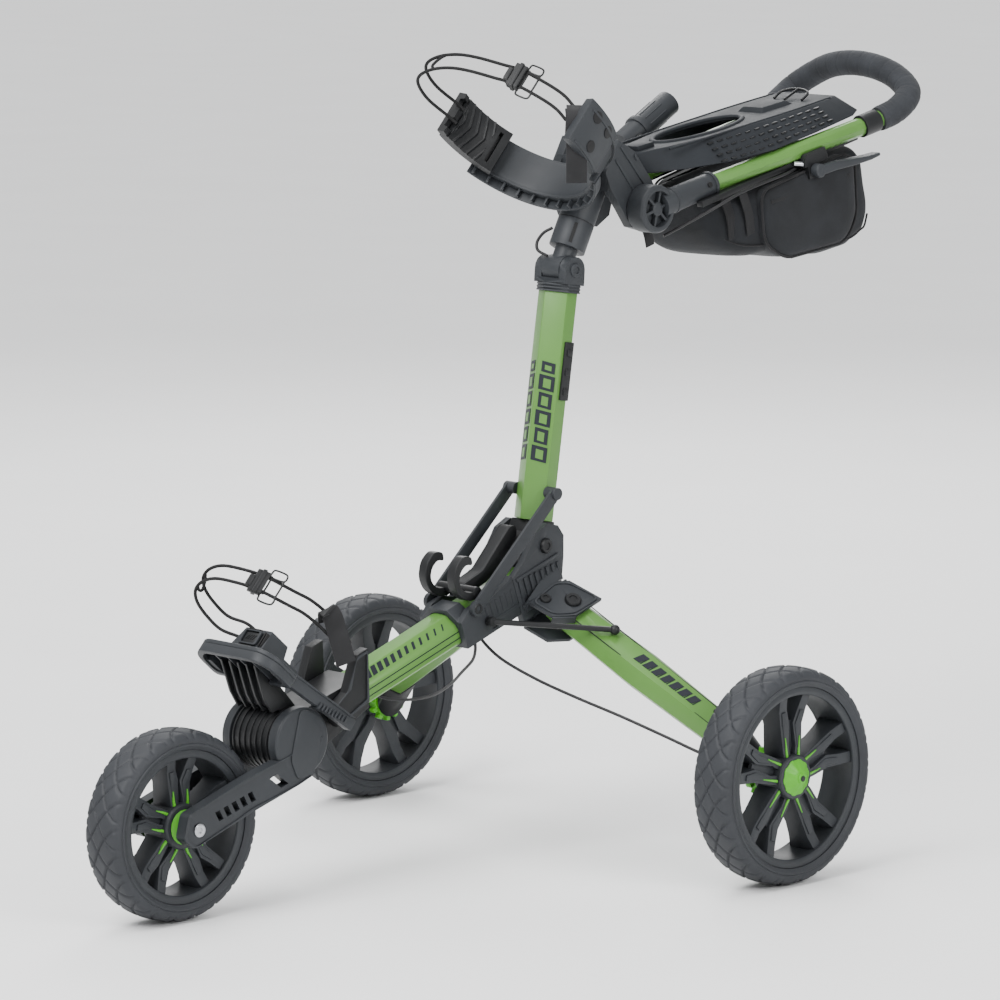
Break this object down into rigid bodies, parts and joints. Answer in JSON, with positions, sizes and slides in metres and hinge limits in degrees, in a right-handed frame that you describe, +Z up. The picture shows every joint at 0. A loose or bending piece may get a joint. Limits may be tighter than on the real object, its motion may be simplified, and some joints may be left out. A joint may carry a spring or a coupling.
{
  "type": "golf push cart",
  "caption": "Folding golf bag push cart: front wheel on a folding fork, splayed rear wheels, cradles with elastic cords, adjustable handle with console, bag and brake lever.",
  "frame": {"origin": "centre of the cart's bounding box, on the floor under the wheels", "axes": "+Y towards the user's handle, -Y forward; +X to the cart's left; +Z up"},
  "size_m": [0.721, 1.1958, 0.9004],
  "materials": {
    "green_metal": "satin powder coat",
    "green_plastic": "smooth",
    "grey_plastic": "fine moulded texture",
    "black_plastic": "fine moulded texture",
    "tyre_rubber": "matt foam rubber",
    "grip_foam": "matt foam",
    "bag_fabric": "woven",
    "elastic_cord": "braided",
    "cable_black": "smooth sheath",
    "steel": "plated"
  },
  "bodies": {
    "frame": {"lower_tube": "green_metal", "hub_housing": "grey_plastic", "front_yoke": "black_plastic", "bag_foot": "grey_plastic", "strap_housing": "grey_plastic", "lower_bungee_cord": "elastic_cord", "lower_cord_buckle": "black_plastic", "main_pivot_bolt": "steel", "leg_pivot_bolt_left": "steel", "leg_pivot_bolt_right": "steel", "rear_brake_cable_left": "cable_black", "rear_brake_cable_right": "cable_black"},
    "slider": {"slide_collar": "grey_plastic"},
    "latch": {"fold_latch": "black_plastic"},
    "upright": {"upright_tube": "green_metal", "upright_foot": "black_plastic", "upright_cap": "grey_plastic"},
    "neck": {"neck_sleeve": "grey_plastic", "head_bracket": "grey_plastic", "upper_cradle": "grey_plastic", "cradle_pad": "grey_plastic", "upper_bungee_cord": "elastic_cord", "upper_cord_buckle": "black_plastic", "neck_cable": "cable_black"},
    "handle": {"handle_tube": "green_metal", "handle_grip": "grip_foam", "knuckle_left": "grey_plastic", "knuckle_right": "grey_plastic", "console": "grey_plastic", "accessory_bag": "bag_fabric", "brake_lever_clamp": "black_plastic", "handle_brake_cable": "cable_black"},
    "brake_lever": {"brake_lever": "black_plastic"},
    "umbrella_holder": {"umbrella_holder": "grey_plastic"},
    "front_fork": {"front_fork": "grey_plastic", "front_axle": "steel"},
    "front_wheel": {"front_tyre": "tyre_rubber", "front_rim": "grey_plastic", "front_hub_core": "green_plastic"},
    "ratchet_button": {"ratchet_button": "black_plastic"},
    "side_link_left": {"side_link_left": "grey_plastic"},
    "leg_rod_left": {"leg_rod_left": "black_plastic"},
    "rear_leg_left": {"rear_leg_left": "green_metal", "axle_housing_left": "black_plastic"},
    "brake_pawl_left": {"brake_pawl_left": "black_plastic"},
    "rear_wheel_left": {"rear_tyre_left": "tyre_rubber", "rear_rim_left": "grey_plastic", "rear_hub_cap_left": "green_plastic", "rear_brake_gear_left": "green_plastic"},
    "side_link_right": {"side_link_right": "grey_plastic"},
    "leg_rod_right": {"leg_rod_right": "black_plastic"},
    "rear_leg_right": {"rear_leg_right": "green_metal", "axle_housing_right": "black_plastic"},
    "brake_pawl_right": {"brake_pawl_right": "black_plastic"},
    "rear_wheel_right": {"rear_tyre_right": "tyre_rubber", "rear_rim_right": "grey_plastic", "rear_hub_cap_right": "green_plastic", "rear_brake_gear_right": "green_plastic"}
  },
  "joints": [
    {"name": "upright_fold", "type": "hinge", "parent": "frame", "child": "upright", "pos_m": [0, 0.03128, 0.349], "axis": [1, 0, 0], "range_deg": [0, 85]},
    {"name": "collar_slide", "type": "slide", "parent": "frame", "child": "slider", "axis": [0, -0.9432, -0.3322], "range_m": [0, 0.086]},
    {"name": "latch_lift", "type": "hinge", "parent": "slider", "child": "latch", "pos_m": [0, -0.07072, 0.307], "axis": [1, 0, 0], "range_deg": [0, 12]},
    {"name": "side_link_left_swing", "type": "hinge", "parent": "slider", "child": "side_link_left", "pos_m": [0, -0.07877, 0.291], "axis": [1, 0, 0], "range_deg": [-5.5, 0]},
    {"name": "side_link_right_swing", "type": "hinge", "parent": "slider", "child": "side_link_right", "pos_m": [0, -0.07877, 0.291], "axis": [1, 0, 0], "range_deg": [-5.5, 0]},
    {"name": "leg_rod_left_swing", "type": "hinge", "parent": "slider", "child": "leg_rod_left", "pos_m": [0.04, -0.05872, 0.274], "axis": [0.5341, -0.3193, 0.7828], "range_deg": [0, 15.6]},
    {"name": "leg_rod_right_swing", "type": "hinge", "parent": "slider", "child": "leg_rod_right", "pos_m": [-0.04, -0.05872, 0.274], "axis": [-0.5341, -0.3193, 0.7828], "range_deg": [-15.6, 0]},
    {"name": "rear_leg_left_fold", "type": "hinge", "parent": "frame", "child": "rear_leg_left", "pos_m": [0.059, 0.04528, 0.273], "axis": [0.5341, -0.3193, 0.7828], "range_deg": [-62.2, 0], "deforming": ["rear_brake_cable_left"]},
    {"name": "rear_leg_right_fold", "type": "hinge", "parent": "frame", "child": "rear_leg_right", "pos_m": [-0.059, 0.04528, 0.273], "axis": [-0.5341, -0.3193, 0.7828], "range_deg": [0, 62.2], "deforming": ["rear_brake_cable_right"]},
    {"name": "rear_wheel_left_spin", "type": "hinge", "parent": "rear_leg_left", "child": "rear_wheel_left", "pos_m": [0.333, 0.10128, 0.1207], "axis": [1, 0, 0], "continuous": true},
    {"name": "brake_pawl_left_press", "type": "hinge", "parent": "rear_leg_left", "child": "brake_pawl_left", "pos_m": [0.304, 0.06128, 0.134], "axis": [1, 0, 0], "range_deg": [0, 2.5]},
    {"name": "rear_wheel_right_spin", "type": "hinge", "parent": "rear_leg_right", "child": "rear_wheel_right", "pos_m": [-0.333, 0.10128, 0.1207], "axis": [1, 0, 0], "continuous": true},
    {"name": "brake_pawl_right_press", "type": "hinge", "parent": "rear_leg_right", "child": "brake_pawl_right", "pos_m": [-0.304, 0.06128, 0.134], "axis": [1, 0, 0], "range_deg": [0, 2.5]},
    {"name": "front_fork_fold", "type": "hinge", "parent": "frame", "child": "front_fork", "pos_m": [0, -0.34672, 0.178], "axis": [1, 0, 0], "range_deg": [0, 120]},
    {"name": "front_wheel_spin", "type": "hinge", "parent": "front_fork", "child": "front_wheel", "pos_m": [0, -0.49442, 0.1035], "axis": [1, 0, 0], "continuous": true},
    {"name": "ratchet_button_press", "type": "slide", "parent": "frame", "child": "ratchet_button", "axis": [0, 0.7501, -0.6613], "range_m": [0, 0.002], "stiffness_N_per_m": 400, "springref_m": -0.001},
    {"name": "neck_fold", "type": "hinge", "parent": "upright", "child": "neck", "pos_m": [0, 0.08728, 0.655], "axis": [1, 0, 0], "range_deg": [-45, 0]},
    {"name": "handle_fold", "type": "hinge", "parent": "neck", "child": "handle", "pos_m": [0, 0.17528, 0.721], "axis": [1, 0, 0], "range_deg": [-60, 0], "deforming": ["accessory_bag", "handle_brake_cable"]},
    {"name": "brake_lever_squeeze", "type": "hinge", "parent": "handle", "child": "brake_lever", "pos_m": [0, 0.41036, 0.75276], "axis": [1, 0, 0], "range_deg": [0, 12]},
    {"name": "umbrella_holder_tilt", "type": "hinge", "parent": "handle", "child": "umbrella_holder", "pos_m": [-0.096, 0.29128, 0.783], "axis": [1, 0, 0], "range_deg": [0, 60]}
  ],
  "couplings": [
    {"joint": "collar_slide", "follows": "upright_fold", "m_per_rad": 0.05696},
    {"joint": "side_link_left_swing", "follows": "upright_fold", "ratio": -0.062},
    {"joint": "leg_rod_left_swing", "follows": "upright_fold", "ratio": 0.182},
    {"joint": "rear_leg_left_fold", "follows": "upright_fold", "ratio": -0.73},
    {"joint": "brake_pawl_left_press", "follows": "brake_lever_squeeze", "ratio": 0.2},
    {"joint": "side_link_right_swing", "follows": "upright_fold", "ratio": -0.062},
    {"joint": "leg_rod_right_swing", "follows": "upright_fold", "ratio": -0.182},
    {"joint": "rear_leg_right_fold", "follows": "upright_fold", "ratio": 0.73},
    {"joint": "brake_pawl_right_press", "follows": "brake_lever_squeeze", "ratio": 0.2}
  ]
}
